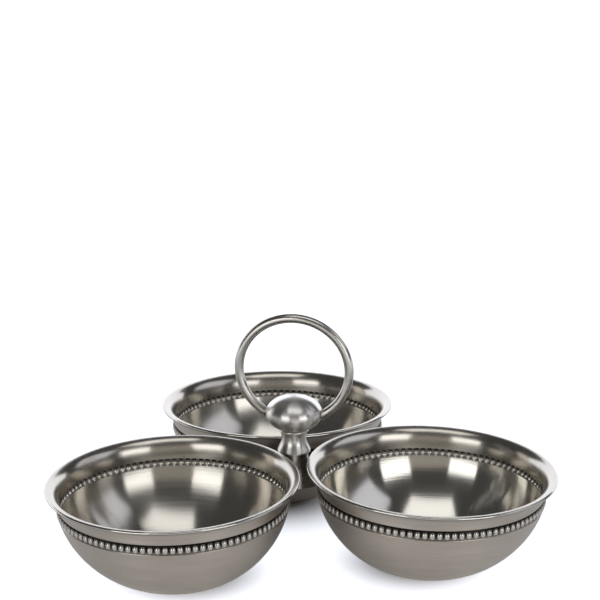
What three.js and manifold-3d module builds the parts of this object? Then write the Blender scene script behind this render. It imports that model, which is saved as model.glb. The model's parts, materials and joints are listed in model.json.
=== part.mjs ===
// Three-bowl server: three spun metal bowls with a beaded band, soldered round a bell-shaped hub.
// A turned neck and knob stand on the hub, and a ring handle swings on two pins in the knob.
// Millimetres, +Z up. The origin lies on the table, in the middle of the footprint's box.
import * as THREE from "three";
import { mergeVertices } from "three/addons/utils/BufferGeometryUtils.js";
import Module from "manifold-3d";

const wasm = await Module();
wasm.setup();

// Clearances between pieces
const SEAT_GAP = 0.3; // between pieces that rest on or are soldered to each other
const RUNNING_GAP = 0.3; // round the ring's pins, and between the ring's ends and the knob
const STUD_GAP = 0.3; // between the stud and the holes it passes through
const SOLDER_GAP = 0.9; // between the hub's lip and a bowl, where the solder runs in

// Bowls
const BOWL_ANGLES = { back: 90, front_left: 210, front_right: 330 };
const BOWL_HEIGHT = 57.3; // table to the top of the lip, along the bowl's axis
const RIM_RADIUS = 70; // outside of the rolled lip
const RIM_GAP = 4.7; // between the lips of neighbouring bowls
const RIM_OVERHANG = 6.4; // how far the lip stands out past the body
const LIP_RADIUS = 0.9; // section of the rolled lip
const SHEET = 1.2; // wall of the spun sheet
const FOOT_RADIUS = 16; // flat that rests on the table
const BODY_FULLNESS = 1.82; // superellipse power of the body's curve: 2 is an ellipse
const BODY_CUT = 0.17; // share of that curve's height left out at its upright end, under the band
const FLARE_FULLNESS = 2.4; // superellipse power of the flare's curve, upright at the band, level at the lip
const BAND_DROP = 13.6; // top of the lip to the middle of the beaded band
const BAND_HEIGHT = 4.4;
const BEADS = 100;
const BEAD_RISE = 0.8; // how far a bead stands out from the body
const BOWL_LEAN = 2.06; // degrees that the axis, upright at the foot, leans outward at the rim

// Hub, a bell that fills the space between the bowls
const HUB_TOP_DROP = 1.6; // top of the lip to the hub's flat top
const HUB_LIP_DROP = 3; // beaded band to the hub's lip
const HUB_FLARE = 2.1; // power of the bell's curve
const HUB_WALL = 1.6;
const HUB_TOP_THICKNESS = 3;

// Neck and knob
const NECK_HEIGHT = 13.8;
const NECK_FOOT_RADIUS = 9.6;
const NECK_FOOT_EDGE = 1.2; // upright edge of the neck's foot
const NECK_WAIST_RADIUS = 7.1;
const NECK_WAIST_HEIGHT = 8.3;
const COLLAR_RADIUS = 8.1; // top of the neck, and the flat under the knob
const COLLAR_EDGE = 1.2; // upright edge under the knob
const KNOB_RADIUS = 16.3;
const KNOB_HALF_HEIGHT = 10.3;

// Ring handle
const ROD_RADIUS = 2.6;
const RING_HALF_WIDTH = 31.7; // to the middle of the rod
const RING_HALF_HEIGHT = 30.3;
const RING_TURN = -18; // degrees that the knob and ring stand turned about the post
const PIN_RADIUS = 2;
const PIN_DEPTH = 6; // length of a pin inside the knob
const PIN_ROOT = 1; // length of a pin inside the end of the rod

// Fasteners under the hub
const STUD_RADIUS = 3;
const STUD_IN_KNOB = 5; // length of stud inside the knob
const STUD_TIP = 1.5; // length of stud that shows below the nut
const WASHER_RADIUS = 6.2;
const WASHER_ROOM = 0.4; // round the washer, inside the hub
const WASHER_THICKNESS = 1.4;
const NUT_ACROSS_FLATS = 10;
const NUT_HEIGHT = 5;

// Solder
const SOLDER_WIDTH = 13; // along the hub's lip
const SOLDER_DEPTH = 7; // from the bowl's wall towards the post

// Facets
const BOWL_SIDES = 48;
const BODY_RINGS = 6;
const FLARE_RINGS = 5;
const LIP_RINGS = 3;
const TURNED_SIDES = 32;
const BELL_STEPS = 7;
const WAIST_STEPS = 6;
const BALL_STEPS = 10;
const RING_STEPS = 44;
const ROD_SIDES = 10;
const BORE_SIDES = 16;

// Levels and radii that follow from the sizes above
const bodyRadius = RIM_RADIUS - RIM_OVERHANG; // widest part of the body, at the beaded band
const bendRadius = BOWL_HEIGHT / THREE.MathUtils.degToRad(BOWL_LEAN); // of a bowl's axis
const rimSpacing = (RIM_RADIUS + RIM_GAP / 2) / Math.sin(Math.PI / 3); // post to the middle of a rim
const bowlSpacing = rimSpacing - bend(0, 0, BOWL_HEIGHT).x; // post to the middle of a foot
const bandMiddle = BOWL_HEIGHT - BAND_DROP;
const bandBottom = bandMiddle - BAND_HEIGHT / 2;
const bandTop = bandMiddle + BAND_HEIGHT / 2;
const hubTop = BOWL_HEIGHT - HUB_TOP_DROP;
const hubWall = facing(bandBottom - HUB_LIP_DROP); // place on a bowl's wall beside the hub's lip
const hubLip = hubWall.z;
const hubLipRadius = bowlSpacing + hubWall.x - SOLDER_GAP;
const hubTopRadius = WASHER_RADIUS + WASHER_ROOM + HUB_WALL;
const neckBottom = hubTop + SEAT_GAP;
const neckTop = neckBottom + NECK_HEIGHT;
const knobBottom = neckTop + SEAT_GAP;
const knobMiddle = knobBottom + knobDropTo(COLLAR_RADIUS);
const pinStart = KNOB_RADIUS + RUNNING_GAP; // where the ring's rod ends and its pin begins
const ringMiddle = knobMiddle + RING_HALF_HEIGHT * Math.sqrt(1 - (pinStart / RING_HALF_WIDTH) ** 2);
const washerTop = hubTop - HUB_TOP_THICKNESS - SEAT_GAP;
const nutTop = washerTop - WASHER_THICKNESS - SEAT_GAP;
const footprintMiddle = rimSpacing / 4; // post to the middle of the footprint, along Y

// Depth below the knob's middle at which its outline has the given radius.
function knobDropTo(radius) {
  return KNOB_HALF_HEIGHT * Math.sqrt(1 - (radius / KNOB_RADIUS) ** 2);
}

// Share of the body's spread from foot to band, at a share of the depth below the band.
function bodyShare(depth) {
  const along = BODY_CUT + (1 - BODY_CUT) * depth;
  return ((1 - along ** BODY_FULLNESS) / (1 - BODY_CUT ** BODY_FULLNESS)) ** (1 / BODY_FULLNESS);
}

// Outside radius of a bowl's body at a height between the foot and the beaded band.
function bodyRadiusAt(height) {
  return FOOT_RADIUS + (bodyRadius - FOOT_RADIUS) * bodyShare(1 - height / bandBottom);
}

// A place of an upright bowl, moved to where the bowl's outward bend along +X takes it.
function bend(x, y, z) {
  const reach = bendRadius - x;
  const turn = z / bendRadius;
  return new THREE.Vector3(bendRadius - reach * Math.cos(turn), y, reach * Math.sin(turn));
}

// A geometry of an upright bowl, bent outward.
function leaning(geometry) {
  const places = geometry.attributes.position;
  for (let i = 0; i < places.count; i++) {
    places.setXYZ(i, ...bend(places.getX(i), places.getY(i), places.getZ(i)));
  }
  geometry.computeVertexNormals();
  return geometry;
}

// Place on a bowl's outside that faces the post, at a height along the bowl's axis.
function facing(height) {
  return bend(-bodyRadiusAt(height), 0, height);
}

// A geometry as a manifold-3d solid.
function solid(geometry) {
  const bare = geometry.clone();
  bare.deleteAttribute("normal");
  bare.deleteAttribute("uv");
  const merged = mergeVertices(bare, 1e-4);
  return new wasm.Manifold(
    new wasm.Mesh({
      numProp: 3,
      vertProperties: merged.attributes.position.array,
      triVerts: new Uint32Array(merged.index.array),
    }),
  );
}

// A manifold-3d solid as a geometry.
function geometryOf(made) {
  const mesh = made.getMesh();
  const geometry = new THREE.BufferGeometry();
  geometry.setAttribute("position", new THREE.BufferAttribute(mesh.vertProperties, 3));
  geometry.setIndex(new THREE.BufferAttribute(mesh.triVerts, 1));
  geometry.computeVertexNormals();
  return geometry;
}

// A solid of revolution about +Z from [radius, height] points that run up the outside.
function turned(points, sides = TURNED_SIDES) {
  const outline = points.map(([radius, height]) => new THREE.Vector2(radius, height));
  return new THREE.LatheGeometry(outline, sides).rotateX(Math.PI / 2);
}

// A rod along X between two places, at the height of the ring's pins.
function crossRod(radius, from, to) {
  const length = Math.abs(to - from);
  const geometry = new THREE.CylinderGeometry(radius, radius, length, BORE_SIDES);
  return geometry.rotateZ(Math.PI / 2).translate((from + to) / 2, 0, knobMiddle);
}

// Points of a level ring: point i has the radius that radiusOf(i) gives.
function level(count, height, radiusOf) {
  return Array.from({ length: count }, (_, i) => {
    const angle = (2 * Math.PI * i) / count;
    const radius = radiusOf(i);
    return new THREE.Vector3(radius * Math.cos(angle), radius * Math.sin(angle), height);
  });
}

// Joins level rings, listed up the outside and back down the inside, into one closed skin.
// Between two rings it steps on the ring whose next point comes first, so their counts may differ.
// A ring of one point is a pole, and is never stepped along.
function skin(rings) {
  const index = [];
  let base = 0;
  for (let k = 0; k + 1 < rings.length; k++) {
    const [low, high] = [rings[k].length, rings[k + 1].length];
    const lowSteps = low > 1 ? low : 0;
    const highSteps = high > 1 ? high : 0;
    const lowAt = (i) => base + (i % low);
    const highAt = (j) => base + low + (j % high);
    let i = 0;
    let j = 0;
    while (i < lowSteps || j < highSteps) {
      if (j === highSteps || (i < lowSteps && (i + 1) * high <= (j + 1) * low)) {
        index.push(lowAt(i), lowAt(i + 1), highAt(j));
        i++;
      } else {
        index.push(lowAt(i), highAt(j + 1), highAt(j));
        j++;
      }
    }
    base += low;
  }
  const places = new Float32Array(rings.flat().flatMap((p) => p.toArray()));
  const geometry = new THREE.BufferGeometry();
  geometry.setAttribute("position", new THREE.BufferAttribute(places, 3));
  geometry.setIndex(index);
  geometry.computeVertexNormals();
  return geometry;
}

// [radius, height] points up a bowl's body from foot to band, moved in from the outside by a wall.
function bodyOutline(wall, steps) {
  const spread = bodyRadius - wall - FOOT_RADIUS;
  return Array.from({ length: steps + 1 }, (_, i) => {
    const turn = (Math.PI / 2) * (1 - i / steps);
    const depth = Math.sin(turn) ** (2 / BODY_FULLNESS);
    return [FOOT_RADIUS + spread * bodyShare(depth), bandBottom - (bandBottom - wall) * depth];
  });
}

// [radius, height] points up the flare from the band, moved in there by a wall, to a level at the lip.
function flareOutline(wall, lipLevel) {
  const foot = bodyRadius - wall;
  const spread = RIM_RADIUS - LIP_RADIUS - foot;
  return Array.from({ length: FLARE_RINGS + 1 }, (_, i) => {
    const turn = ((Math.PI / 2) * i) / FLARE_RINGS;
    const run = 1 - Math.cos(turn) ** (2 / FLARE_FULLNESS);
    const rise = Math.sin(turn) ** (2 / FLARE_FULLNESS);
    return [foot + spread * run, bandTop + (lipLevel - bandTop) * rise];
  });
}

// [radius, height] points round the rolled lip, between its underside and its top.
function lipOutline() {
  return Array.from({ length: LIP_RINGS }, (_, i) => {
    const turn = Math.PI * ((i + 1) / (LIP_RINGS + 1) - 1 / 2);
    const radius = RIM_RADIUS - LIP_RADIUS + LIP_RADIUS * Math.cos(turn);
    return [radius, BOWL_HEIGHT - LIP_RADIUS + LIP_RADIUS * Math.sin(turn)];
  });
}

// An upright bowl on its own axis: foot, body, beads, flare and lip outside, then flare and body inside.
function bowlGeometry() {
  const plain = ([radius, height]) => level(BOWL_SIDES, height, () => radius);
  const crest = (i) => bodyRadius + (i % 2 ? BEAD_RISE : 0);
  const inside = [...bodyOutline(SHEET, BODY_RINGS - 1), ...flareOutline(SHEET, BOWL_HEIGHT)];
  return skin([
    level(1, 0, () => 0),
    ...bodyOutline(0, BODY_RINGS).slice(0, -1).map(plain),
    level(BEADS, bandBottom, () => bodyRadius),
    level(2 * BEADS, bandMiddle, crest),
    level(BEADS, bandTop, () => bodyRadius),
    ...flareOutline(0, BOWL_HEIGHT - 2 * LIP_RADIUS).slice(1).map(plain),
    ...lipOutline().map(plain),
    ...inside.reverse().map(plain),
    level(1, SHEET, () => 0),
  ]);
}

// Radius of the hub's outside at a share of its height, counted from the top.
function hubRadius(share) {
  return hubTopRadius + (hubLipRadius - hubTopRadius) * share ** HUB_FLARE;
}

// [radius, height] points up the hub's bell from its lip to its top.
function hubOutline(steps = BELL_STEPS) {
  return Array.from({ length: steps + 1 }, (_, i) => {
    const share = 1 - i / steps;
    return [hubRadius(share), hubTop - (hubTop - hubLip) * share];
  });
}

// The bell: a thin skirt under a flat top with a hole for the stud.
function hubGeometry() {
  const hole = STUD_RADIUS + STUD_GAP;
  const ceiling = hubTop - HUB_TOP_THICKNESS;
  const skirt = hubOutline();
  const lining = skirt.filter(([, height]) => height < ceiling).map(([r, h]) => [r - HUB_WALL, h]);
  const ceilingRadius = hubRadius(HUB_TOP_THICKNESS / (hubTop - hubLip)) - HUB_WALL;
  const inside = [[hole, ceiling], [ceilingRadius, ceiling], ...lining.reverse()];
  return turned([...inside, ...skirt, [hole, hubTop], [hole, ceiling]]);
}

// The neck: a waisted tube with upright edges at its foot and under the knob.
function neckGeometry() {
  const hole = STUD_RADIUS + STUD_GAP;
  const waist = new THREE.SplineCurve([
    new THREE.Vector2(NECK_FOOT_RADIUS, neckBottom + NECK_FOOT_EDGE),
    new THREE.Vector2(NECK_WAIST_RADIUS, neckBottom + NECK_WAIST_HEIGHT),
    new THREE.Vector2(COLLAR_RADIUS, neckTop - COLLAR_EDGE),
  ]);
  const outside = waist.getPoints(WAIST_STEPS).map((p) => [p.x, p.y]);
  return turned([
    [hole, neckBottom],
    [NECK_FOOT_RADIUS, neckBottom],
    ...outside,
    [COLLAR_RADIUS, neckTop],
    [hole, neckTop],
    [hole, neckBottom],
  ]);
}

// The knob: a flattened ball with a blind hole below and a pin socket in each side.
function knobGeometry() {
  const hole = STUD_RADIUS + STUD_GAP;
  const holeTop = knobBottom + STUD_IN_KNOB + STUD_GAP;
  const lowest = -Math.acos(COLLAR_RADIUS / KNOB_RADIUS);
  const ball = Array.from({ length: BALL_STEPS + 1 }, (_, i) => {
    const turn = lowest + ((Math.PI / 2 - lowest) * i) / BALL_STEPS;
    return [KNOB_RADIUS * Math.cos(turn), knobMiddle + KNOB_HALF_HEIGHT * Math.sin(turn)];
  });
  ball[BALL_STEPS][0] = 0; // the top of the ball lies on the axis
  const blank = turned([[0, holeTop], [hole, holeTop], [hole, knobBottom], ...ball]);
  const bottom = KNOB_RADIUS - PIN_DEPTH - RUNNING_GAP;
  const sockets = [-1, 1].map((side) =>
    solid(crossRod(PIN_RADIUS + RUNNING_GAP, side * bottom, side * (KNOB_RADIUS + PIN_DEPTH))),
  );
  return geometryOf(solid(blank).subtract(sockets[0]).subtract(sockets[1]));
}

// The line of the ring's rod: an oval standing on the pins, open across the knob.
class RingLine extends THREE.Curve {
  getPoint(t, target = new THREE.Vector3()) {
    const inKnob = Math.asin((pinStart - ROD_RADIUS) / RING_HALF_WIDTH);
    const turn = inKnob + t * (2 * Math.PI - 2 * inKnob);
    return target.set(
      RING_HALF_WIDTH * Math.sin(turn),
      0,
      ringMiddle - RING_HALF_HEIGHT * Math.cos(turn),
    );
  }
}

// The ring handle: an open ring cut flat beside the knob, with a pin on each end.
function ringGeometry() {
  const section = new THREE.Shape().absarc(0, 0, ROD_RADIUS, 0, 2 * Math.PI);
  const bent = new THREE.ExtrudeGeometry(section, {
    steps: RING_STEPS,
    curveSegments: ROD_SIDES / 2,
    bevelEnabled: false,
    extrudePath: new RingLine(),
  });
  const reach = 2 * (ROD_RADIUS + KNOB_HALF_HEIGHT);
  const knobSpace = new THREE.BoxGeometry(2 * pinStart, reach, reach).translate(0, 0, knobMiddle);
  let ring = solid(bent).subtract(solid(knobSpace));
  for (const side of [-1, 1]) {
    const inner = side * (KNOB_RADIUS - PIN_DEPTH);
    ring = ring.add(solid(crossRod(PIN_RADIUS, inner, side * (pinStart + PIN_ROOT))));
  }
  return geometryOf(ring);
}

// A solder fillet in the groove between the hub's lip and the bowl that stands along +X.
function solderGeometry() {
  const top = facing(bandBottom).z - SEAT_GAP;
  const block = new THREE.BoxGeometry(2 * SOLDER_DEPTH, SOLDER_WIDTH, top - hubLip);
  block.translate(bowlSpacing + hubWall.x, 0, (hubLip + top) / 2);
  const bowlRoom = bodyOutline(-SEAT_GAP, 2 * BODY_RINGS);
  const upright = turned([[0, bowlRoom[0][1]], ...bowlRoom, [0, bandBottom]], BOWL_SIDES);
  const bowl = leaning(upright).translate(bowlSpacing, 0, 0);
  const hubRoom = hubOutline(2 * BELL_STEPS).map(([radius, height]) => [radius + SEAT_GAP, height]);
  const below = hubLip - SEAT_GAP;
  const hub = turned([[0, below], [hubRoom[0][0], below], ...hubRoom, [0, hubTop]], 2 * TURNED_SIDES);
  return geometryOf(solid(block).subtract(solid(bowl)).subtract(solid(hub)));
}

// The washer under the hub's flat top.
function washerGeometry() {
  const hole = STUD_RADIUS + STUD_GAP;
  const bottom = washerTop - WASHER_THICKNESS;
  return turned([
    [hole, bottom],
    [WASHER_RADIUS, bottom],
    [WASHER_RADIUS, washerTop],
    [hole, washerTop],
    [hole, bottom],
  ]);
}

// The hexagon nut that draws the stud down.
function nutGeometry() {
  const corners = Array.from({ length: 6 }, (_, i) => {
    const radius = NUT_ACROSS_FLATS / 2 / Math.cos(Math.PI / 6);
    return new THREE.Vector2(radius, 0).rotateAround(new THREE.Vector2(), (i * Math.PI) / 3);
  });
  const section = new THREE.Shape(corners);
  section.holes.push(new THREE.Path().absarc(0, 0, STUD_RADIUS + STUD_GAP, 0, 2 * Math.PI));
  const nut = new THREE.ExtrudeGeometry(section, {
    depth: NUT_HEIGHT,
    curveSegments: BORE_SIDES,
    bevelEnabled: false,
  });
  return nut.translate(0, 0, nutTop - NUT_HEIGHT);
}

// The stud: a rod from below the nut, up through hub and neck, into the knob.
function studGeometry() {
  const low = nutTop - NUT_HEIGHT - STUD_TIP;
  const high = knobBottom + STUD_IN_KNOB;
  const stud = new THREE.CylinderGeometry(STUD_RADIUS, STUD_RADIUS, high - low, BORE_SIDES);
  return stud.rotateX(Math.PI / 2).translate(0, 0, (low + high) / 2);
}

// Finishes
const satinSteel = new THREE.MeshStandardMaterial({ color: 0xb6b1aa, roughness: 0.38, metalness: 1 });
const polishedSteel = new THREE.MeshStandardMaterial({ color: 0xc5c1bc, roughness: 0.22, metalness: 1 });
const plainSteel = new THREE.MeshStandardMaterial({ color: 0x8d8b88, roughness: 0.5, metalness: 1 });
const solderMetal = new THREE.MeshStandardMaterial({ color: 0x86847f, roughness: 0.55, metalness: 1 });

const server = new THREE.Group();
server.position.y = -footprintMiddle;

function place(name, geometry, material, parent = server) {
  const mesh = new THREE.Mesh(geometry, material);
  mesh.name = name;
  parent.add(mesh);
  return mesh;
}

const bowl = leaning(bowlGeometry());
const fillet = solderGeometry();
for (const [where, degrees] of Object.entries(BOWL_ANGLES)) {
  const arm = new THREE.Group();
  arm.rotation.z = THREE.MathUtils.degToRad(degrees);
  server.add(arm);
  place("bowl_" + where, bowl, satinSteel, arm).position.x = bowlSpacing;
  place("solder_fillet_" + where, fillet, solderMetal, arm);
}
place("hub_bell", hubGeometry(), satinSteel);
place("neck", neckGeometry(), polishedSteel);
const handle = new THREE.Group();
handle.rotation.z = THREE.MathUtils.degToRad(RING_TURN);
server.add(handle);
place("knob", knobGeometry(), polishedSteel, handle);
place("ring_handle", ringGeometry(), polishedSteel, handle);
place("tie_stud", studGeometry(), plainSteel);
place("clamp_washer", washerGeometry(), plainSteel);
place("clamp_nut", nutGeometry(), plainSteel);

const part = new THREE.Group();
part.add(server);
export default part;
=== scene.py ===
# %% [markdown]
# # A three-bowl server
# Three spun metal bowls with a beaded band stand round a bell-shaped hub. A turned neck and a flattened
# knob rise from the hub, and a ring handle swings on two pins in the knob.
#
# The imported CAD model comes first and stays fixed. Everything below is in metres, in its frame, so each
# new surface goes straight to the place of the solid that it stands for.

import json

import bpy
import numpy as np
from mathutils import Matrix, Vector


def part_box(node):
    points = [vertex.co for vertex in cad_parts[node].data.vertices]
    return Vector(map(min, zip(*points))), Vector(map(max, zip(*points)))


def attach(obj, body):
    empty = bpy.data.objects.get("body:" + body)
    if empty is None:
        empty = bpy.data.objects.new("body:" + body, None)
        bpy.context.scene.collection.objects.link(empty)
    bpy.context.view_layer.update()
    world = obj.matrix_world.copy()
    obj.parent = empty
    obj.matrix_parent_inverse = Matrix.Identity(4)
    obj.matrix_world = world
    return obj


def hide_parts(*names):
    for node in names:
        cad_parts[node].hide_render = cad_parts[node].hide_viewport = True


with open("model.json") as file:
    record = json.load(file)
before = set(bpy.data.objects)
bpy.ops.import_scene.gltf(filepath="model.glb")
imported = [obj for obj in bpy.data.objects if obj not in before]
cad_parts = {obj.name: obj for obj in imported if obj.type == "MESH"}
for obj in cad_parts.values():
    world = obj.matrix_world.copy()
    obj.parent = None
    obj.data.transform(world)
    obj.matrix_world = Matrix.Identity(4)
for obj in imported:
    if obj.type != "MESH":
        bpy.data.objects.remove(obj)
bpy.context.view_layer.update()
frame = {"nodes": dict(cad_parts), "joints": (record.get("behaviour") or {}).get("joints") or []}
print("CAD nodes:", ", ".join(sorted(frame["nodes"])))

# %% [markdown]
# ## Surfaces from arrays
# Almost every piece here is a turned or swept shape, so it is a grid of points: rows run along a
# profile, columns run round an axis. Blender's own lathe tools would do for the plain ones, but not for
# 100 beads pressed into a wall, and a grid of points takes any relief as one more array.
#
# A solid piece starts and ends in one point, a pole, so that it closes without thin slivers. A hollow
# turning has no poles: its rows wrap round as its columns do.


# %% Grids into closed meshes
def closed_grid(points):
    """Faces of a grid whose columns wrap round and whose first and last rows are poles.

    Points has the shape (rows, columns, 3). The middle rows give quads, and each pole gives a fan.
    Returns the vertices, with one vertex for each pole, and the faces.
    """
    rows, columns = points.shape[:2]
    ring = np.arange(columns)
    after = np.roll(ring, -1)
    middle = points[1:-1].reshape(-1, 3)
    row = np.arange(rows - 3)[:, None] * columns + 1
    quads = np.stack([row + ring, row + after, row + columns + after, row + columns + ring], -1)
    last_row = 1 + (rows - 3) * columns
    far_pole = len(middle) + 1
    near_fan = np.stack([np.zeros_like(ring), after + 1, ring + 1], -1)
    far_fan = np.stack([np.full_like(ring, far_pole), last_row + ring, last_row + after], -1)
    vertices = np.concatenate([points[:1, 0], middle, points[-1:, 0]])
    return vertices, quads.reshape(-1, 4).tolist() + near_fan.tolist() + far_fan.tolist()


def wrapped_grid(points):
    """Vertices and faces of a grid that wraps round both ways, as a hollow turned ring does."""
    rows, columns = points.shape[:2]
    ring = np.arange(columns)
    after = np.roll(ring, -1)
    row = np.arange(rows)[:, None] * columns
    next_row = np.roll(row, -1, axis=0)
    quads = np.stack([row + ring, row + after, next_row + after, next_row + ring], -1)
    return points.reshape(-1, 3), quads.reshape(-1, 4).tolist()


# %% [markdown]
# A grid says nothing of which side is out. The sign of the volume does: it is worked out from the
# triangles, and a mesh that comes out negative is turned inside out. Faces that meet at a sharp angle
# keep a crisp edge, and the rest are shaded as one smooth surface.


# %% Meshes into pieces
def signed_volume(mesh):
    """Sum over triangles of a . (b x c) / 6: positive when the faces of a closed mesh point outwards."""
    mesh.calc_loop_triangles()
    corners = np.empty(len(mesh.loop_triangles) * 3, np.int32)
    mesh.loop_triangles.foreach_get("vertices", corners)
    places = np.empty(len(mesh.vertices) * 3)
    mesh.vertices.foreach_get("co", places)
    a, b, c = places.reshape(-1, 3)[corners.reshape(-1, 3)].transpose(1, 0, 2)
    return np.einsum("ij,ij->i", a, np.cross(b, c)).sum() / 6


def add_piece(name, surface, material, body, node, crease=40):
    """Makes a mesh object from (vertices, faces), puts it under the body's empty and hides the CAD node it
    replaces.
    """
    vertices, faces = surface
    mesh = bpy.data.meshes.new(name)
    mesh.from_pydata(vertices.tolist(), [], faces)
    if signed_volume(mesh) < 0:
        mesh.flip_normals()
    mesh.shade_smooth()
    mesh.set_sharp_from_angle(angle=np.radians(crease))
    mesh.materials.append(material)
    piece = bpy.data.objects.new(name, mesh)
    bpy.context.scene.collection.objects.link(piece)
    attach(piece, body)
    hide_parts(node)
    print(f"{name}: {len(mesh.vertices)} vertices, {signed_volume(mesh) * 1e6:.2f} cm3")
    return piece


# %% [markdown]
# ## Shader maths as expressions
# Each finish is a few lines of arithmetic on noise. Wiring nodes by hand hides that arithmetic, so one
# small class wraps a socket: an expression such as `0.3 + 0.1 * grain` adds the Math nodes itself.


# %% A socket that does arithmetic
class Value:
    """A node's output socket with the operators of a number."""

    def __init__(self, tree, socket):
        self.tree = tree
        self.socket = socket

    def node(self, kind, settings=None, **inputs):
        """Adds a node of this kind, sets its settings, then fills its inputs with numbers or links.

        An input is given by its label, with _ for a space, or by its number after a _.
        """
        made = self.tree.nodes.new(kind)
        for key, setting in (settings or {}).items():
            setattr(made, key, setting)
        for key, given in inputs.items():
            label = int(key[1:]) if key[1:].isdigit() else key.replace("_", " ")
            if isinstance(given, Value):
                self.tree.links.new(given.socket, made.inputs[label])
            else:
                made.inputs[label].default_value = given
        return made

    def out(self, kind, output, settings=None, **inputs):
        """The named output of a new node, wrapped."""
        return Value(self.tree, self.node(kind, settings, **inputs).outputs[output])

    def math(self, operation, first, second):
        """The result of a new Math node."""
        return self.out("ShaderNodeMath", "Value", {"operation": operation}, _0=first, _1=second)

    def __add__(self, other):
        return self.math("ADD", self, other)

    def __radd__(self, other):
        return self.math("ADD", other, self)

    def __sub__(self, other):
        return self.math("SUBTRACT", self, other)

    def __rsub__(self, other):
        return self.math("SUBTRACT", other, self)

    def __mul__(self, other):
        return self.math("MULTIPLY", self, other)

    def __rmul__(self, other):
        return self.math("MULTIPLY", other, self)

    def clamp(self):
        """The value held between 0 and 1."""
        return self.out("ShaderNodeClamp", "Result", None, Value=self)

    def blend(self, low, high):
        """A colour that runs from low to high as the value runs from 0 to 1."""
        return self.out("ShaderNodeMix", 2, {"data_type": "RGBA"}, Factor=self, _6=low, _7=high)


def new_material(name):
    """A material with an empty node tree, and a Value to start expressions from."""
    material = bpy.data.materials.new(name)
    material.use_nodes = True
    tree = material.node_tree
    tree.nodes.clear()
    return material, Value(tree, None)


def finish_with(start, shader):
    """Joins a shader node to a new material output."""
    surface = Value(start.tree, shader.outputs[0])
    start.node("ShaderNodeOutputMaterial", None, Surface=surface)


# %% [markdown]
# ## Metals
# All the metal is one grey alloy, though its colour is set lighter on the post, as painted light, and
# darker in the bowls' satin, partly as painted shade. Outside, the bowls have a satin finish brushed round
# the axis; inside they are closer to a polish, so lamps show there as soft shapes. Black patina sits
# between the beads.
#
# Brushing is noise stretched along the way the brush went. The bowls carry their own attribute for
# that, with the place round the axis and the length along the profile, so the streaks follow the wall.
# Fine scratches also smear a highlight across themselves, which the shader's anisotropy does.

# %% Noise and scratches
GRAIN_DETAIL = 3.0
CLOUD_DETAIL = 2.0
SCRATCH_DEPTH = 0.0004


def noise(start, place, stretch, detail):
    """Noise about 0, from -0.5 to 0.5; stretch is its number of spots per metre along each axis."""
    spots = start.out("ShaderNodeMapping", "Vector", None, Vector=place, Scale=stretch)
    return start.out("ShaderNodeTexNoise", "Fac", None, Vector=spots, Scale=1.0, Detail=detail) - 0.5


def scratched(start, grain, strength):
    """A surface normal tilted by the slope of the grain."""
    depth = {"Strength": strength, "Distance": SCRATCH_DEPTH}
    return start.out("ShaderNodeBump", "Normal", None, Height=grain, **depth)


# %% [markdown]
# The bowls' finish changes from place to place, so three attributes on the mesh steer it: `spin` is the
# place that the brush saw, `polish` runs from satin to polished, and the third is where black lies, as
# patina and as painted shade.
# Separate materials for each zone would show hard edges, and an attribute fades.

# %% Bowl metal
# The satin colours are darker than the polish partly for the brushing and partly as painted shade: the
# outside mirrors a white floor, and the darker metal stands in for dimmer surroundings.
SATIN_AND_SHADE_LOW = (0.43, 0.388, 0.336, 1)
SATIN_AND_SHADE_HIGH = (0.57, 0.515, 0.448, 1)
POLISHED = (0.60, 0.578, 0.53, 1)
# The black of the patina, used for the painted shade too.
PATINA_AND_SHADE = (0.012, 0.011, 0.01, 1)
SATIN_ROUGHNESS = 0.35
POLISHED_ROUGHNESS = 0.13
PATINA_AND_SHADE_ROUGHNESS = 0.3
PATINA_AND_SHADE_METALLIC = 0.1
PATINA_AND_SHADE_SHEEN = 0.1
PATINA_AND_SHADE_PATCHES = 0.4
BRUSH_STREAKS = (14, 14, 1500)
BRUSH_CLOUDS = (30, 30, 160)
STREAK_TONE, CLOUD_TONE = 1.3, 0.8
STREAK_ROUGHNESS, CLOUD_ROUGHNESS = 0.1, 0.05
BOWL_SCRATCHES = 0.06
BRUSHED = 0.85
ACROSS = 0.25


def bowl_metal():
    """Satin outside, near polish inside, and black where the third attribute is 1: patina, and painted
    shade.
    """
    material, start = new_material("bowl metal")
    spin = start.out("ShaderNodeAttribute", "Vector", {"attribute_name": "spin"})
    polish = start.out("ShaderNodeAttribute", "Fac", {"attribute_name": "polish"})
    patina_and_shade = start.out("ShaderNodeAttribute", "Fac", {"attribute_name": "patina_and_shade"})
    grain = noise(start, spin, BRUSH_STREAKS, GRAIN_DETAIL)
    cloud = noise(start, spin, BRUSH_CLOUDS, CLOUD_DETAIL)
    streak = (0.5 + STREAK_TONE * grain + CLOUD_TONE * cloud).clamp()
    clean = polish.blend(streak.blend(SATIN_AND_SHADE_LOW, SATIN_AND_SHADE_HIGH), POLISHED)
    dark = (patina_and_shade * (1 + PATINA_AND_SHADE_PATCHES * cloud)).clamp()
    smooth = SATIN_ROUGHNESS - (SATIN_ROUGHNESS - POLISHED_ROUGHNESS) * polish
    shader = start.node(
        "ShaderNodeBsdfPrincipled",
        None,
        Base_Color=dark.blend(clean, PATINA_AND_SHADE),
        Metallic=1 - (1 - PATINA_AND_SHADE_METALLIC) * dark,
        Roughness=smooth + STREAK_ROUGHNESS * grain + CLOUD_ROUGHNESS * cloud + PATINA_AND_SHADE_ROUGHNESS * dark,
        Anisotropic=BRUSHED,
        Anisotropic_Rotation=ACROSS,
        Specular_IOR_Level=PATINA_AND_SHADE_SHEEN,
        Normal=scratched(start, grain, BOWL_SCRATCHES),
    )
    finish_with(start, shader)
    return material


bowl_finish = bowl_metal()
print("made", bowl_finish.name)

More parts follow.
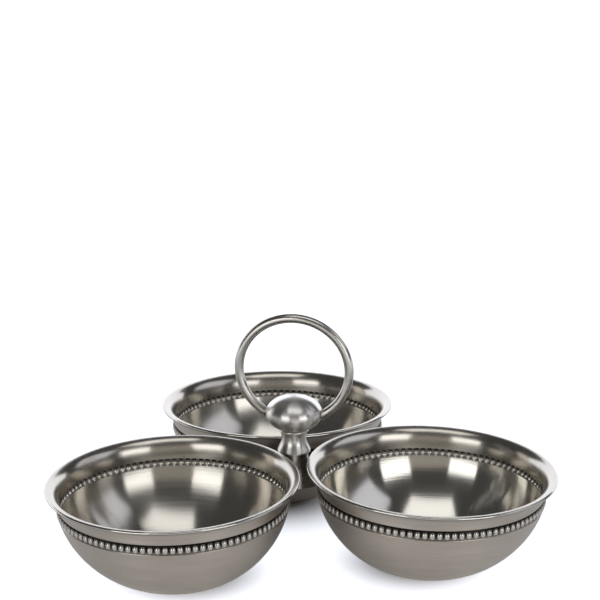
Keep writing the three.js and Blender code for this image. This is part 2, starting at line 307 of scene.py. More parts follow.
# %% [markdown]
# Hub, post, ring, fasteners and solder are plain metals, each of one finish all over. On these the
# noise is on Object coordinates. Lathe marks are noise stretched round the post. The drawn rod, the
# machined fasteners and the solder, dull as it cooled, each have a grain of their own.

# %% Plain metals
LATHE_MARKS = (60, 60, 1500)
MOTTLES = (160, 160, 160)
MOTTLE_TONE = 0.9
MOTTLE_DULL = 0.82
GRAIN_ROUGHNESS, MOTTLE_ROUGHNESS = 0.1, 0.08
PLAIN_SCRATCHES = 0.05


def plain_metal(name, colour, roughness, streaks, brushed):
    """One metal all over: fine noise is its grain, and broad noise mottles colour and roughness."""
    material, start = new_material(name)
    place = start.out("ShaderNodeTexCoord", "Object")
    grain = noise(start, place, streaks, GRAIN_DETAIL)
    mottle = noise(start, place, MOTTLES, CLOUD_DETAIL)
    dull = tuple(MOTTLE_DULL * part for part in colour)
    shader = start.node(
        "ShaderNodeBsdfPrincipled",
        None,
        Base_Color=(0.5 + MOTTLE_TONE * mottle).clamp().blend((*dull, 1), (*colour, 1)),
        Metallic=1.0,
        Roughness=roughness + GRAIN_ROUGHNESS * grain + MOTTLE_ROUGHNESS * mottle,
        Anisotropic=brushed,
        Anisotropic_Rotation=ACROSS,
        Normal=scratched(start, grain, PLAIN_SCRATCHES),
    )
    finish_with(start, shader)
    return material


hub_finish = plain_metal("hub metal", (0.56, 0.53, 0.49), 0.28, LATHE_MARKS, BRUSHED)
# The post's colour is lighter than the same alloy elsewhere: painted light, which brightens the knob and
# neck and their highlights.
lightened_post_finish = plain_metal("lightened post metal", (0.80, 0.775, 0.735), 0.30, LATHE_MARKS, BRUSHED)
ring_finish = plain_metal("ring metal", (0.58, 0.555, 0.515), 0.26, (90, 90, 90), 0)
fastener_finish = plain_metal("fastener metal", (0.42, 0.41, 0.40), 0.42, (300, 300, 900), 0)
solder_finish = plain_metal("solder", (0.40, 0.39, 0.375), 0.5, (500, 500, 500), 0)
plain_finishes = (hub_finish, lightened_post_finish, ring_finish, fastener_finish, solder_finish)
print("made", ", ".join(finish.name for finish in plain_finishes))

# %% [markdown]
# ## Bowls
# A real bowl of this kind is spun from a disc of sheet metal, the beads are rolled into the wall with a
# wheel, and the rim is flared and rolled over. So one profile, carried round the axis, gives the sheet:
# up the outside, over the lip and down the inside. Beads are added as a relief on the rows of the band.
#
# What the frame holds as a box is read from it: the rim, the height of the post and where they stand.
# The sizes inside a bowl are those that the CAD model was drawn with.

# %% Sizes of the bowls
back_low, back_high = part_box("bowl_back")
neck_low, neck_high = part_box("neck")
post = (neck_low + neck_high) / 2
RIM = (back_high.x - back_low.x) / 2
RIM_OVERHANG = 0.0064
BODY = RIM - RIM_OVERHANG
BOWL_HEIGHT = 0.0573
FOOT = 0.016
SHEET = 0.0012
LIP = 0.0009
BODY_FULLNESS = 1.82
BODY_CUT = 0.17
FLARE_FULLNESS = 2.4
BAND_DROP = 0.0136
BAND_HALF = 0.0022
BEADS = 100
band_middle = BOWL_HEIGHT - BAND_DROP
band_bottom = band_middle - BAND_HALF
band_top = band_middle + BAND_HALF
print(f"rim {RIM:.4f} m, body {BODY:.4f} m, beads between {band_bottom:.4f} and {band_top:.4f} m up")

# %% [markdown]
# The profile runs in sections. The body is a superellipse whose upright end is cut off, so that it
# already leans in where it leaves the band. The flare is a quarter of another superellipse, upright at
# the band and level at the lip, like the bell of a trumpet. Each has two extra rows close to the band,
# so that smooth shading doesn't blur the edge there.

# %% Curves of the profile
ROWS_UNDER_BAND = [0.02, 0.006]
ROWS_OVER_BAND = [0.009, 0.034]
LIP_REACH = np.radians(68)


def body_rows(wall, steps):
    """(radius, height) up the body: share of the radius = ((1 - s^n) / (1 - c^n)) to the power 1/n.

    Here n is the fullness, c the part of the curve cut off, and s runs from 1 at the foot to c at the
    band.
    """
    depth = np.sin(np.linspace(np.pi / 2, 0, steps)) ** (2 / BODY_FULLNESS)
    depth = np.insert(depth, -1, ROWS_UNDER_BAND)
    along = BODY_CUT + (1 - BODY_CUT) * depth
    share = ((1 - along**BODY_FULLNESS) / (1 - BODY_CUT**BODY_FULLNESS)) ** (1 / BODY_FULLNESS)
    radius = FOOT + (BODY - wall - FOOT) * share
    return np.stack([radius, band_bottom - (band_bottom - wall) * depth], -1)


def flare_rows(foot, level, steps):
    """(radius, height) up the flare, from a radius at the band to a level at the lip.

    The radius grows by 1 - cos^(2/n) and the height by sin^(2/n) of an angle from 0 to a right angle.
    """
    turn = np.insert(np.linspace(0, np.pi / 2, steps), 1, ROWS_OVER_BAND)
    run = 1 - np.cos(turn) ** (2 / FLARE_FULLNESS)
    climb = np.sin(turn) ** (2 / FLARE_FULLNESS)
    return np.stack([foot + (RIM - LIP - foot) * run, band_top + (level - band_top) * climb], -1)


def arc_rows(radius, height, size, turn):
    """(radius, height) rows on a small arc about a middle: middle + size * (cos, sin) of the turn."""
    return np.stack([radius + size * np.cos(turn), height + size * np.sin(turn)], -1)


# %% [markdown]
# The beads sit in a shallow recess. A rib rounds its lower edge, and a groove over the beads holds the
# black line seen there. Outside, rib and groove take the place of the curves' rows next to the band, so
# those rows are left off. The sections are joined in order, and each row remembers its section.

# %% Profile of a bowl
RECESS = 0.0006
RIB = np.array([[-0.00005, -0.0006], [-0.0001, -0.0003], [-0.0003, -0.0001], [-RECESS, 0]])
GROOVE = np.array(
    [[-RECESS, 0.0001], [-0.0007, 0.0004], [-RECESS, 0.0008], [-0.0001, 0.001], [0, 0.0012]]
)
BAND_STEPS = np.array([-1, -0.93, -0.8, -0.6, -0.3, 0, 0.3, 0.6, 0.8, 0.93, 1])
BODY_STEPS, INNER_BODY_STEPS = 18, 17
FLARE_STEPS, INNER_FLARE_STEPS = 10, 13
LIP_STEPS = 7


def band_rows(radius):
    """(radius, height) rows across the beaded band."""
    return np.stack([np.full(len(BAND_STEPS), radius), band_middle + BAND_HALF * BAND_STEPS], -1)


lip_turn = np.linspace(-LIP_REACH, LIP_REACH, LIP_STEPS)
sections = {
    "foot": np.array([[0, 0], [FOOT / 2, 0]]),
    "body": body_rows(0, BODY_STEPS)[: -len(ROWS_UNDER_BAND)],
    "rib": np.array([BODY, band_bottom]) + RIB,
    "band": band_rows(BODY - RECESS),
    "groove": np.array([BODY, band_top]) + GROOVE,
    "flare": flare_rows(BODY, BOWL_HEIGHT - 2 * LIP, FLARE_STEPS)[1 + len(ROWS_OVER_BAND) :],
    "lip": arc_rows(RIM - LIP, BOWL_HEIGHT - LIP, LIP, lip_turn),
    "inner flare": flare_rows(BODY - SHEET, BOWL_HEIGHT, INNER_FLARE_STEPS)[::-1],
    "inner band": band_rows(BODY - SHEET)[::-1][1:-1],
    "inner body": body_rows(SHEET, INNER_BODY_STEPS)[::-1],
    "floor": np.array([[FOOT / 2, SHEET], [0, SHEET]]),
}
profile = np.concatenate(list(sections.values()))
section_of = np.repeat(list(sections), [len(rows) for rows in sections.values()])
print(f"profile of {len(profile)} rows in {len(sections)} sections")

# %% [markdown]
# A wheel rolls each bead from inside, so a dome outside has a dimple behind it. Both are one height
# field over the grid, added to the radius. The columns crowd at the edges of each bead, where it bends
# most.

# %% Beads on the band
BEAD_COLUMNS = np.array([-0.5, -0.42, -0.37, -0.30, -0.17, 0, 0.17, 0.30, 0.37, 0.42])
BEAD_HALF_WIDTH = 0.405
BEAD_HALF_HEIGHT = 0.97
BEAD_POWER = 2.2
BEAD_RISE = 0.0013
DIMPLE = 0.0014
angles = ((np.arange(BEADS)[:, None] + 0.5 + BEAD_COLUMNS) * 2 * np.pi / BEADS).ravel()
across = np.tile(BEAD_COLUMNS / BEAD_HALF_WIDTH, BEADS)
upright = (profile[:, 1:] - band_middle) / (BAND_HALF * BEAD_HALF_HEIGHT)


def bead_dome():
    """Height of the beads, 0 to 1: a superellipse dome, (1 - |u|^p - |v|^p) to the power a half."""
    filled = 1 - np.abs(across) ** BEAD_POWER - np.abs(upright) ** BEAD_POWER
    return np.sqrt(np.clip(filled, 0, 1))


def on_rows(*names):
    """1 on the rows of the named sections and 0 elsewhere, as a column."""
    return np.isin(section_of, names)[:, None] * 1.0


dome = bead_dome()
radii = profile[:, :1] + BEAD_RISE * dome * on_rows("band") + DIMPLE * dome * on_rows("inner band")
heights = np.broadcast_to(profile[:, 1:], radii.shape)
print(f"{BEADS} beads, {len(profile)} x {len(angles)} points")

# %% [markdown]
# Patina is brushed on black and wiped off what stands proud, so it stays between the beads and in the
# groove, where the black also stands for shade: painted shade. The black line under the lip and the dark
# roofs and edges of the dimples are painted shade only. It is worked out from the same dome. The inside
# is polished, the flare a little less so. The tops of the beads are polished too, because a cloth
# reaches them.

# %% Wear, patina and painted shade
GAP_FADE, GAP_TOP, GAP_LEAST = 1.3, 1.3, 0.4
ROOF_FADE, ROOF_EDGE = 3, 5
DIMPLE_RIM, DIMPLE_RIM_FADE = 0.5, 2.5
# Painted shade under the lip: how black it is, and the heights between which its line runs.
PAINTED_LIP_SHADE, LIP_LINE_FROM, LIP_LINE_TO = 0.65, 0.0027, 1.2 * LIP
FLARE_DULLNESS = 0.4


def held(values):
    """Values held between 0 and 1."""
    return np.clip(values, 0, 1)


between_beads = held(1 - GAP_FADE * dome) * np.clip(GAP_TOP + upright, GAP_LEAST, 1) * on_rows("band")
# Patina in the groove over the beads, whose black is partly painted shade, for the shade that falls in the
# groove.
groove_patina_and_shade = on_rows("groove") * (profile[:, :1] < BODY)
# Painted shade: the line just under the rolled lip is painted black, for the shade under its roll.
line_low, line_high = BOWL_HEIGHT - LIP_LINE_FROM, BOWL_HEIGHT - LIP_LINE_TO
lip_line = (profile[:, 1:] > line_low) & (profile[:, 1:] < line_high)
painted_shade_under_lip = PAINTED_LIP_SHADE * on_rows("flare", "lip") * lip_line
# Painted shade in the dimples: the roof of each, which faces down, is darkened, and so is a band round its
# edge, as in a hollow lit from above.
painted_roof_shade = held(ROOF_FADE * upright) * held(ROOF_EDGE * dome)
painted_rim_shade = DIMPLE_RIM * held(1 - DIMPLE_RIM_FADE * dome)
painted_dimple_shade = (painted_roof_shade + painted_rim_shade) * on_rows("inner band")
# All the black together: patina between the beads, patina and painted shade in the groove, and painted
# shade under the lip and in the dimples.
patina_and_shade = held(between_beads + groove_patina_and_shade + painted_shade_under_lip + painted_dimple_shade)
inner_sections = list(sections)[list(sections).index("lip") :]
bead_polish = np.sqrt(dome) * on_rows("band")
polish = held(on_rows(*inner_sections) + bead_polish - FLARE_DULLNESS * on_rows("inner flare"))
row_steps = np.linalg.norm(np.diff(profile, axis=0, prepend=profile[:1]), axis=1)
length = np.cumsum(row_steps)[:, None]
spin = np.stack(np.broadcast_arrays(RIM * np.cos(angles), RIM * np.sin(angles), length), -1)
print(f"patina on {(patina_and_shade > 0.5).mean():.0%} of the points, polish on {(polish > 0.5).mean():.0%}")

# %% [markdown]
# The bowls lean away from the post by about two degrees, yet each foot is flat on the table. So a bowl
# is not tilted as a whole: its axis bends along an arc from upright at the foot to the full lean at the
# rim.

# %% Placing a bowl
LEAN = np.radians(2.06)
rim_spacing = (back_low.y + back_high.y) / 2 - post.y
bend_radius = BOWL_HEIGHT / LEAN
foot_spacing = rim_spacing - bend_radius * (1 - np.cos(LEAN))


def leaned(x, y, z):
    """Bends an upright bowl along an arc: a height z turns into an angle about a far centre on +x."""
    reach = bend_radius - x
    return bend_radius - reach * np.cos(z / bend_radius), y, reach * np.sin(z / bend_radius)


def bowl_points(degrees):
    """The upright grid, bent outward, moved out along +x and turned about the post."""
    x, y, z = leaned(radii * np.cos(angles), radii * np.sin(angles), heights)
    x = x + foot_spacing
    c, s = np.cos(np.radians(degrees)), np.sin(np.radians(degrees))
    return np.stack([post.x + x * c - y * s, post.y + x * s + y * c, z], -1)


def store(mesh, name, kind, field, values):
    """Writes a grid of values as a named attribute, one for each vertex of closed_grid."""
    middle = values[1:-1].reshape(-1, *values.shape[2:])
    per_vertex = np.concatenate([values[:1, 0], middle, values[-1:, 0]])
    layer = mesh.attributes.new(name, kind, "POINT")
    layer.data.foreach_set(field, np.ascontiguousarray(per_vertex, np.float32).ravel())


print(f"feet {foot_spacing:.4f} m and rims {rim_spacing:.4f} m from the post")

# %% [markdown]
# The three bowls are the same shape, a third of a turn apart. A polish by hand differs from bowl to
# bowl: in the photograph the lamps show sharpest in the right one, so the other two are duller below
# the beads.

# %% Three bowls
BOWLS = {"back": (90, 0.2), "front_left": (210, 0.25), "front_right": (330, 0.0)}
for where, (degrees, dullness) in BOWLS.items():
    shell = closed_grid(bowl_points(degrees))
    name, node = "spun_bowl_" + where, "bowl_" + where
    bowl = add_piece(name, shell, bowl_finish, "server", node)
    store(bowl.data, "spin", "FLOAT_VECTOR", "vector", spin)
    store(bowl.data, "polish", "FLOAT", "value", polish - dullness * on_rows("inner body", "floor"))
    store(bowl.data, "patina_and_shade", "FLOAT", "value", patina_and_shade)

# %% [markdown]
# ## Hub
# The hub is a bell, spun or cast, that spreads downward until it meets the bowls, where it is soldered.
# It is hollow, with a flat ceiling that the stud passes through. An outline that goes down the inside
# and up the outside, carried round the post, gives the wall and the hole in one surface.

# %% Bell hub
TURNED_COLUMNS = 128
turned_angles = np.linspace(0, 2 * np.pi, TURNED_COLUMNS, endpoint=False)
CLEARANCE = 0.0003
BREAK = 0.0003
STUD = 0.003
STUD_ROOM = STUD + CLEARANCE
hub_low, hub_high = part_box("hub_bell")
HUB_LIP = (hub_high.x - hub_low.x) / 2
HUB_TOP = 0.0082
HUB_WALL = 0.0016
HUB_CEILING = 0.003
HUB_FLARE = 2.1
HUB_STEPS = 30


def about_post(radius, height, turn):
    """Points at a radius, a height and a turn about the post, from arrays that broadcast together."""
    x, y = post.x + radius * np.cos(turn), post.y + radius * np.sin(turn)
    return np.stack(np.broadcast_arrays(x, y, height), -1)


def turned(outline):
    """Carries (radius, height) rows round the post."""
    radius, height = np.asarray(outline).T[..., None]
    return about_post(radius, height, turned_angles)


def bell_rows(steps):
    """(radius, height) up the bell: the radius grows with a power of the depth below the top."""
    share = np.linspace(1, 0, steps)
    radius = HUB_TOP + (HUB_LIP - HUB_TOP) * share**HUB_FLARE
    return np.stack([radius, hub_high.z - (hub_high.z - hub_low.z) * share], -1)


skirt = bell_rows(HUB_STEPS)
ceiling = hub_high.z - HUB_CEILING
lining = skirt[skirt[:, 1] < ceiling] - (HUB_WALL, 0)
ceiling_edge = np.interp(ceiling, skirt[:, 1], skirt[:, 0]) - HUB_WALL
hub_outline = np.concatenate(
    [
        [[STUD_ROOM, ceiling], [ceiling_edge, ceiling]],
        lining[::-1],
        [skirt[0] - (HUB_WALL / 2, BREAK)],
        skirt,
        [[STUD_ROOM, hub_high.z]],
    ]
)
hub_surface = wrapped_grid(turned(hub_outline))
add_piece("spun_hub", hub_surface, hub_finish, "server", "hub_bell")

# %% [markdown]
# ## Neck
# The neck is turned from bar: a rounded foot, a waist, and a thin rounded collar under the knob. Two
# power curves meet at the waist, and small arcs round the two edges.

# %% Turned neck
NECK_FOOT = (neck_high.x - neck_low.x) / 2
FOOT_ROUND = 0.0008
FOOT_TALL = 0.0016
FOOT_POWER = 1.1
WAIST = 0.0071
WAIST_SHARE = 0.6
COLLAR = 0.0081
COLLAR_POWER = 2.2
COLLAR_SHARE = 0.9
COLLAR_ROUND, COLLAR_SET_IN, COLLAR_SET_DOWN, COLLAR_TURN = 0.0006, 0.0002, 0.0007, 0.3
NECK_STEPS = 24
neck_tall = neck_high.z - neck_low.z
waist_height = neck_tall * WAIST_SHARE


def neck_rows(steps):
    """(radius, height) up the neck: 1 - sin^p of the climb below the waist, a power of it above."""
    climb = np.linspace(0, 1, steps)
    lower = WAIST + (NECK_FOOT - WAIST) * (1 - np.sin(np.pi / 2 * climb) ** FOOT_POWER)
    upper = WAIST + (COLLAR - WAIST) * climb**COLLAR_POWER
    lower_z = FOOT_TALL + (waist_height - FOOT_TALL) * climb
    upper_z = waist_height + neck_tall * (COLLAR_SHARE - WAIST_SHARE) * climb
    radius = np.concatenate([lower, upper[1:]])
    return np.stack([radius, neck_low.z + np.concatenate([lower_z, upper_z[1:]])], -1)


edge = np.radians(np.linspace(-90, 60, 8))
collar_z = neck_high.z - COLLAR_SET_DOWN
neck_outline = np.concatenate(
    [
        [[STUD_ROOM, neck_low.z]],
        arc_rows(NECK_FOOT - FOOT_ROUND, neck_low.z + FOOT_ROUND, FOOT_ROUND, edge),
        neck_rows(NECK_STEPS),
        arc_rows(COLLAR - COLLAR_SET_IN, collar_z, COLLAR_ROUND, edge + COLLAR_TURN),
        [[STUD_ROOM, neck_high.z]],
    ]
)
neck_surface = wrapped_grid(turned(neck_outline))
add_piece("turned_neck", neck_surface, lightened_post_finish, "server", "neck")

# %% [markdown]
# The washer under the hub's ceiling is stamped from sheet: a flat ring whose outer edges are broken.

# %% Flat washer
washer_low, washer_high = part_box("clamp_washer")
WASHER = (washer_high.x - washer_low.x) / 2
washer_outline = [
    [STUD_ROOM, washer_low.z],
    [WASHER - BREAK, washer_low.z],
    [WASHER, washer_low.z + BREAK],
    [WASHER, washer_high.z - BREAK],
    [WASHER - BREAK, washer_high.z],
    [STUD_ROOM, washer_high.z],
]
washer_surface = wrapped_grid(turned(washer_outline))
add_piece("flat_washer", washer_surface, fastener_finish, "server", "clamp_washer")

# %% [markdown]
# ## Knob
# The knob is a flattened ball turned from bar, with a blind hole below for the stud and a drilled
# socket in each side for the ring's pins. A Boolean cut would leave long thin faces round the sockets.
# Here the columns crowd together at the two sides, and the points inside a socket's circle are pushed
# in to its floor.

# %% Knob with two sockets
knob_low, knob_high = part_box("knob")
joint = frame["joints"][0]
pivot = Vector(joint["pos_m"])
swing_axis = Vector(joint["axis"]).normalized()
handle_turn = np.arctan2(swing_axis.y, swing_axis.x)
KNOB_FLATNESS = 16.3 / 10.3
KNOB_HALF = knob_high.z - pivot.z
KNOB = KNOB_HALF * KNOB_FLATNESS
PIN = 0.002
PIN_ROOM = PIN + CLEARANCE
PIN_DEPTH = 0.006
SOCKET_FLOOR = KNOB - PIN_DEPTH - CLEARANCE
HOLE_DEPTH = 0.0053
KNOB_COLUMNS, KNOB_ROWS = 192, 64
CROWDING = 0.6


def on_handle(x, y, z):
    """Turns points about the post by the handle's angle."""
    c, s = np.cos(handle_turn), np.sin(handle_turn)
    return np.stack([pivot.x + x * c - y * s, pivot.y + x * s + y * c, z], -1)


def knob_points():
    """A flattened ball over a blind hole; points within a socket's circle lie on the socket's floor.

    The columns crowd by taking half of sin(2a), times the crowding, off each even angle a.
    """
    even = np.linspace(0, 2 * np.pi, KNOB_COLUMNS, endpoint=False)
    turn = even - CROWDING * np.sin(2 * even) / 2
    rise = np.linspace(-np.arccos(COLLAR / KNOB), np.pi / 2, KNOB_ROWS)
    ball = np.stack([KNOB * np.cos(rise), pivot.z + KNOB_HALF * np.sin(rise)], -1)
    ball[-1, 0] = 0
    hole_top = knob_low.z + HOLE_DEPTH
    hole = [[0, hole_top], [STUD_ROOM, hole_top], [STUD_ROOM, knob_low.z]]
    radius, height = np.concatenate([hole, ball]).T[..., None]
    x, y, z = np.broadcast_arrays(radius * np.cos(turn), radius * np.sin(turn), height)
    in_socket = (np.hypot(y, z - pivot.z) < PIN_ROOM) & (np.abs(x) > SOCKET_FLOOR)
    return on_handle(np.where(in_socket, np.sign(x) * SOCKET_FLOOR, x), y, z)


add_piece("turned_knob", closed_grid(knob_points()), lightened_post_finish, "server", "knob")

# %% [markdown]
# ## Ring handle
# The ring is bent from round rod, sprung open and let into the knob on two turned-down pins. A circle
# is carried along an oval path, always square to it, and stops a little short of the knob at both ends.

# %% Rod of the ring
ROD = 0.0026
RING_WIDE = 0.0317
RING_TALL = 0.0303
ROD_SIDES, ROD_STEPS = 32, 240
LAST_TURN = 0.09
PIN_START = KNOB + CLEARANCE
ring_middle = pivot.z + RING_TALL * np.sqrt(1 - (PIN_START / RING_WIDE) ** 2)
around = np.linspace(0, 2 * np.pi, ROD_SIDES, endpoint=False)
first_turn = np.arcsin(PIN_START / RING_WIDE) + LAST_TURN
path_turns = np.linspace(first_turn, 2 * np.pi - first_turn, ROD_STEPS)[:, None]
along_x = RING_WIDE * np.cos(path_turns)
along_z = RING_TALL * np.sin(path_turns)
speed = np.hypot(along_x, along_z)
out_of_path = ROD * np.cos(around)
rod_x = RING_WIDE * np.sin(path_turns) + out_of_path * along_z / speed
rod_y = np.broadcast_to(ROD * np.sin(around), rod_x.shape)
rod_z = ring_middle - RING_TALL * np.cos(path_turns) - out_of_path * along_x / speed
print(f"rod of {ROD_STEPS} circles, from {np.degrees(first_turn):.0f} degrees off the bottom")

# %% [markdown]
# Each end of the rod is faced off flat beside the knob, and its core goes on as the pin. So the rod's
# last circle is slid along the path on to that flat, and a smaller circle then runs into the socket.


# %% Pins of the ring
def cut_row(row, side):
    """Slides a circle of the rod along its own direction to the flat at x = side * PIN_START."""
    slide = (side * PIN_START - rod_x[row]) / along_x[row]
    x, z = rod_x[row] + slide * along_x[row], rod_z[row] + slide * along_z[row]
    return np.stack([x, rod_y[row], z], -1)


def pin_row(x, radius, side):
    """A circle of the pin, across x."""
    z = pivot.z - side * radius * np.cos(around)
    return np.stack([np.full_like(around, x), radius * np.sin(around), z], -1)


tip = KNOB - PIN_DEPTH
start_rows = [pin_row(tip, 0, 1), pin_row(tip, PIN, 1), pin_row(PIN_START, PIN, 1), cut_row(0, 1)]
end_rows = [cut_row(-1, -1), pin_row(-PIN_START, PIN, -1), pin_row(-tip, PIN, -1), pin_row(-tip, 0, -1)]
ring_rows = np.concatenate([start_rows, np.stack([rod_x, rod_y, rod_z], -1), end_rows])
ring_surface = closed_grid(on_handle(*ring_rows.transpose(2, 0, 1)))
add_piece("bent_ring", ring_surface, ring_finish, "ring", "ring_handle")

# %% [markdown]
# ## Stud and nut
# One stud draws knob, neck and hub together. Its thread is cut or rolled, and here it is a relief that
# climbs one pitch per turn: again a radius for each row and column, so it needs no other tool.

# %% Threaded stud
stud_low, stud_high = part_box("tie_stud")
PITCH = 0.001
THREAD = 0.00045
ROWS_PER_PITCH = 8
STUD_COLUMNS = 24
stud_turns = np.linspace(0, 2 * np.pi, STUD_COLUMNS, endpoint=False)
stud_rows = int((stud_high.z - stud_low.z) / PITCH * ROWS_PER_PITCH)
stud_z = np.linspace(stud_low.z, stud_high.z, stud_rows)[:, None]


def thread_radius():
    """Radius of the stud: full at a crest, less by the thread's depth half a pitch on and at both ends."""
    phase = (stud_z / PITCH - stud_turns / (2 * np.pi)) % 1
    radius = STUD - THREAD * np.abs(2 * phase - 1)
    radius[[0, -1]] = STUD - THREAD
    return radius


poles = np.zeros((1, STUD_COLUMNS))
stud_radius = np.concatenate([poles, thread_radius(), poles])
stud_height = np.concatenate([stud_z[:1], stud_z, stud_z[-1:]])
stud_surface = closed_grid(about_post(stud_radius, stud_height, stud_turns))
add_piece("threaded_stud", stud_surface, fastener_finish, "server", "tie_stud")

# %% [markdown]
# The nut is a hexagon bar, drilled, with its corners turned back by a cone at both faces. The smaller
# of the hexagon's radius and the cone's gives that edge as a curve, which no Boolean has to find.

# %% Hexagon nut
nut_low, nut_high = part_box("clamp_nut")
NUT_FLAT = 0.005
NUT_COLUMNS = 96
NUT_CREASE = 25
BEVEL_DEPTHS = np.array([0, 0.0001, 0.0004, 0.0007])
CONE_START, CONE_SLOPE = 0.97, 1.7
nut_turns = np.linspace(0, 2 * np.pi, NUT_COLUMNS, endpoint=False)
hexagon = NUT_FLAT / np.cos((nut_turns + np.pi / 6) % (np.pi / 3) - np.pi / 6)
bevel = np.minimum(hexagon, NUT_FLAT * CONE_START + CONE_SLOPE * BEVEL_DEPTHS[:, None])
bore = np.full((1, NUT_COLUMNS), STUD_ROOM)
nut_radius = np.concatenate([bore, bevel, bevel[::-1], bore])
nut_height = [[nut_low.z], nut_low.z + BEVEL_DEPTHS, nut_high.z - BEVEL_DEPTHS[::-1], [nut_high.z]]
nut_surface = wrapped_grid(about_post(nut_radius, np.concatenate(nut_height)[:, None], nut_turns))
add_piece("hexagon_nut", nut_surface, fastener_finish, "server", "clamp_nut", NUT_CREASE)

# %% [markdown]
# ## Solder
# The CAD fillets already have the right shape between hub and bowl, so they stay and only get a finish.

# %% Solder finish
for where in BOWLS:
    fillet = frame["nodes"]["solder_fillet_" + where]
    fillet.data.materials.clear()
    fillet.data.materials.append(solder_finish)
print("solder on", len(BOWLS), "fillets")

# %% [markdown]
# ## Floor
# The server stands on a white paper sweep: a sheet that lies flat, bends and runs up behind as a
# backdrop. Its height matters, because the outer ends of the rims mirror it and turn dark where it
# stops.

# %% Paper sweep
FLOOR_HALF = 6.0
SWEEP_RADIUS = 1.0
SWEEP_START = 3.0
SWEEP_STEPS = 24
WALL_TOP = 2.6
bend_turns = np.linspace(0, np.pi / 2, SWEEP_STEPS)
bend_y = SWEEP_START + SWEEP_RADIUS * np.sin(bend_turns)
sweep_y = np.concatenate([[-FLOOR_HALF], bend_y, [SWEEP_START + SWEEP_RADIUS]])
sweep_z = np.concatenate([[0], SWEEP_RADIUS * (1 - np.cos(bend_turns)), [WALL_TOP]])
sweep = np.stack(np.broadcast_arrays([[-FLOOR_HALF], [FLOOR_HALF]], sweep_y, sweep_z), -1)
sweep_rows = len(sweep_y)
corner = np.arange(sweep_rows - 1)
floor_faces = np.stack([corner, corner + sweep_rows, corner + sweep_rows + 1, corner + 1], -1)
floor_mesh = bpy.data.meshes.new("floor")
floor_mesh.from_pydata(sweep.reshape(-1, 3).tolist(), [], floor_faces.tolist())
floor_mesh.shade_smooth()
floor = bpy.data.objects.new("floor", floor_mesh)
bpy.context.scene.collection.objects.link(floor)
print(f"floor of {len(floor_faces)} faces, wall {WALL_TOP} m high")

# %% [markdown]
# In the photograph the paper is pure white, with a soft shade only near each foot and a wider one under
# the back bowl. Lamps strong enough to make it so would brighten the metal too. So the paper adds light
# of its own for camera rays, which stops short of the feet, and for mirror rays, which see it brighter
# far away than between the bowls. Diffuse rays see plain white paper.

# %% Paper
PAPER = (0.85, 0.85, 0.85, 1)
GLOW = (0.93, 0.96, 1.04, 1)
SHADE_SHIFT = 0.008
BACK_SHADE = (0.016, 0.07, 0, 1)
FRONT_SHADE = (0.012, 0.052, 0, 1)
BETWEEN_BOWLS = (0.04, 0.13, 0.4, 1)
BACKDROP = (0.3, 1.5, 0.29, 1.4)


def shade_middle(degrees):
    """Middle of the shade under a bowl: the foot, moved a little towards the post."""
    turn = np.radians(degrees)
    reach = foot_spacing - SHADE_SHIFT
    return Vector((post.x + reach * np.cos(turn), post.y + reach * np.sin(turn), 0))


def ramp(start, place, middle, limits):
    """Runs smoothly from low to high as the distance from a middle runs from near to far.

    Limits are near, far, low and high.
    """
    near, far, low, high = limits
    smooth = {"interpolation_type": "SMOOTHSTEP"}
    away = start.out("ShaderNodeVectorMath", "Value", {"operation": "DISTANCE"}, _0=place, _1=middle)
    given = {"_1": near, "_2": far, "_3": low, "_4": high}
    return start.out("ShaderNodeMapRange", "Result", smooth, Value=away, **given)


def floor_paper():
    """White paper that adds light, for camera rays short of each foot and for mirror rays from afar."""
    material, start = new_material("floor paper")
    camera_ray = start.out("ShaderNodeLightPath", "Is Camera Ray")
    glossy_ray = start.out("ShaderNodeLightPath", "Is Glossy Ray")
    mirror_ray = glossy_ray + start.out("ShaderNodeLightPath", "Is Transmission Ray")
    place = start.out("ShaderNodeTexCoord", "Object")
    back, front_left, front_right = (shade_middle(degrees) for degrees, _ in BOWLS.values())
    front = ramp(start, place, front_left, FRONT_SHADE) * ramp(start, place, front_right, FRONT_SHADE)
    between = ramp(start, place, Vector((post.x, post.y, 0)), BETWEEN_BOWLS)
    afar = ramp(start, place, Vector((0, 0, 0)), BACKDROP) * between
    strength = (camera_ray * front + mirror_ray * afar) * ramp(start, place, back, BACK_SHADE)
    paper = start.out("ShaderNodeBsdfDiffuse", "BSDF", None, Color=PAPER)
    glow = start.out("ShaderNodeEmission", "Emission", None, Color=GLOW, Strength=strength)
    finish_with(start, start.node("ShaderNodeAddShader", None, _0=paper, _1=glow))
    return material


floor_mesh.materials.append(floor_paper())
print("made", floor_mesh.materials[0].name)

# %% [markdown]
# ## Light
# Polished bowls show the studio, so each lamp was placed by its image in them. The two soft boxes
# beside the camera are the pair of pale patches in each bowl and in its flare. The top box is the patch
# in the bottoms, turned a little as that patch is. The wall behind the camera is the grey between the
# pair, and the side panels are the stripes at the right and left of the insides.

# %% Lamps and world
CENTRE = Vector((0, post.y, 0.04))
WHITE, WARM, CREAM, COOL = (1, 1, 1), (1.0, 0.92, 0.82), (1.0, 0.94, 0.84), (0.88, 0.9, 1.0)
TOP_SHIFT = Vector((0.014, -0.4, 0))
TOP_TURN = np.radians(-15)
STUDIO_GREY = (0.07, 0.07, 0.07, 1)


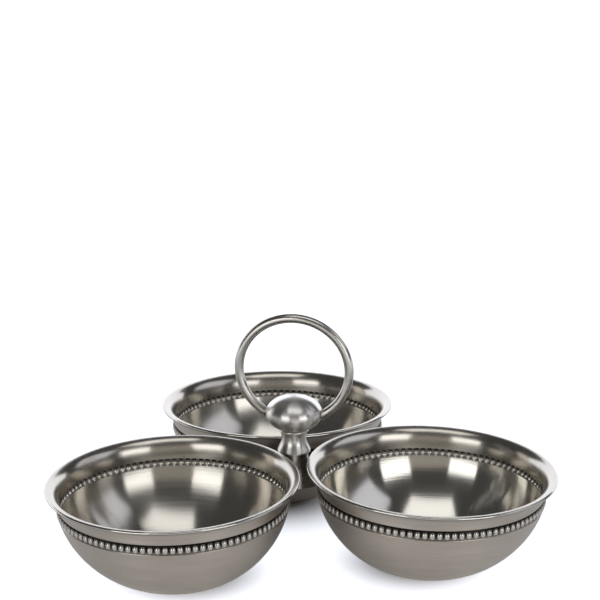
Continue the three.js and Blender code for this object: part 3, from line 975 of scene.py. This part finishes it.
def soft_box(name, azimuth, elevation, distance, width, height, power, colour):
    """A rectangular lamp that faces the object; azimuth 0 is the camera's side, turning to the right."""
    lamp = bpy.data.lights.new(name, "AREA")
    lamp.shape = "RECTANGLE"
    lamp.size, lamp.size_y = width, height
    lamp.energy = power
    lamp.color = colour
    a, e = np.radians(azimuth), np.radians(elevation)
    away = Vector((np.sin(a) * np.cos(e), -np.cos(a) * np.cos(e), np.sin(e)))
    holder = bpy.data.objects.new(name, lamp)
    holder.location = CENTRE + distance * away
    holder.rotation_euler = away.to_track_quat("Z", "Y").to_euler()
    holder.visible_camera = False
    bpy.context.scene.collection.objects.link(holder)
    return holder


soft_box("soft box left", -43, 15, 1.5, 0.8, 0.66, 3.7, WHITE)
soft_box("soft box right", 31, 15, 1.5, 0.8, 0.66, 3.7, WHITE)
soft_box("wall behind the camera", -6, 12, 1.6, 1.3, 0.55, 0.85, WARM)
soft_box("side panel left", -117, 14, 1.4, 0.4, 0.7, 0.65, CREAM)
soft_box("side panel right", 85, 35, 1.4, 1.1, 0.8, 2.5, COOL)
top = soft_box("top box", 0, 90, 1.3, 1.02, 0.76, 3.5, WHITE)
top.location += TOP_SHIFT
top.rotation_euler.z += TOP_TURN

world = bpy.data.worlds.new("studio")
bpy.context.scene.world = world
world.use_nodes = True
world.node_tree.nodes["Background"].inputs["Color"].default_value = STUDIO_GREY
world.node_tree.nodes["Background"].inputs["Strength"].default_value = 1.0
print(len(bpy.data.lights), "lamps")

# %% [markdown]
# ## Camera
# The camera was fitted to the photograph: its place, tilt, pan and lens put the rims, the rows of beads
# and the outlines of the bowls where the photograph has them.

# %% Camera
CAMERA_PLACE = (-0.1304, -1.0722, 0.4491)
TILT_DOWN = 15.97
PAN_RIGHT = 7.257
LENS, SENSOR = 117.9, 36
camera_data = bpy.data.cameras.new("camera")
camera_data.lens = LENS
camera_data.sensor_width = SENSOR
camera = bpy.data.objects.new("camera", camera_data)
camera.location = CAMERA_PLACE
camera.rotation_euler = (np.radians(90 - TILT_DOWN), 0, np.radians(-PAN_RIGHT))
bpy.context.scene.collection.objects.link(camera)
bpy.context.scene.camera = camera
bpy.context.scene.view_settings.view_transform = "Standard"
print(f"camera at {CAMERA_PLACE}, {TILT_DOWN} degrees down")
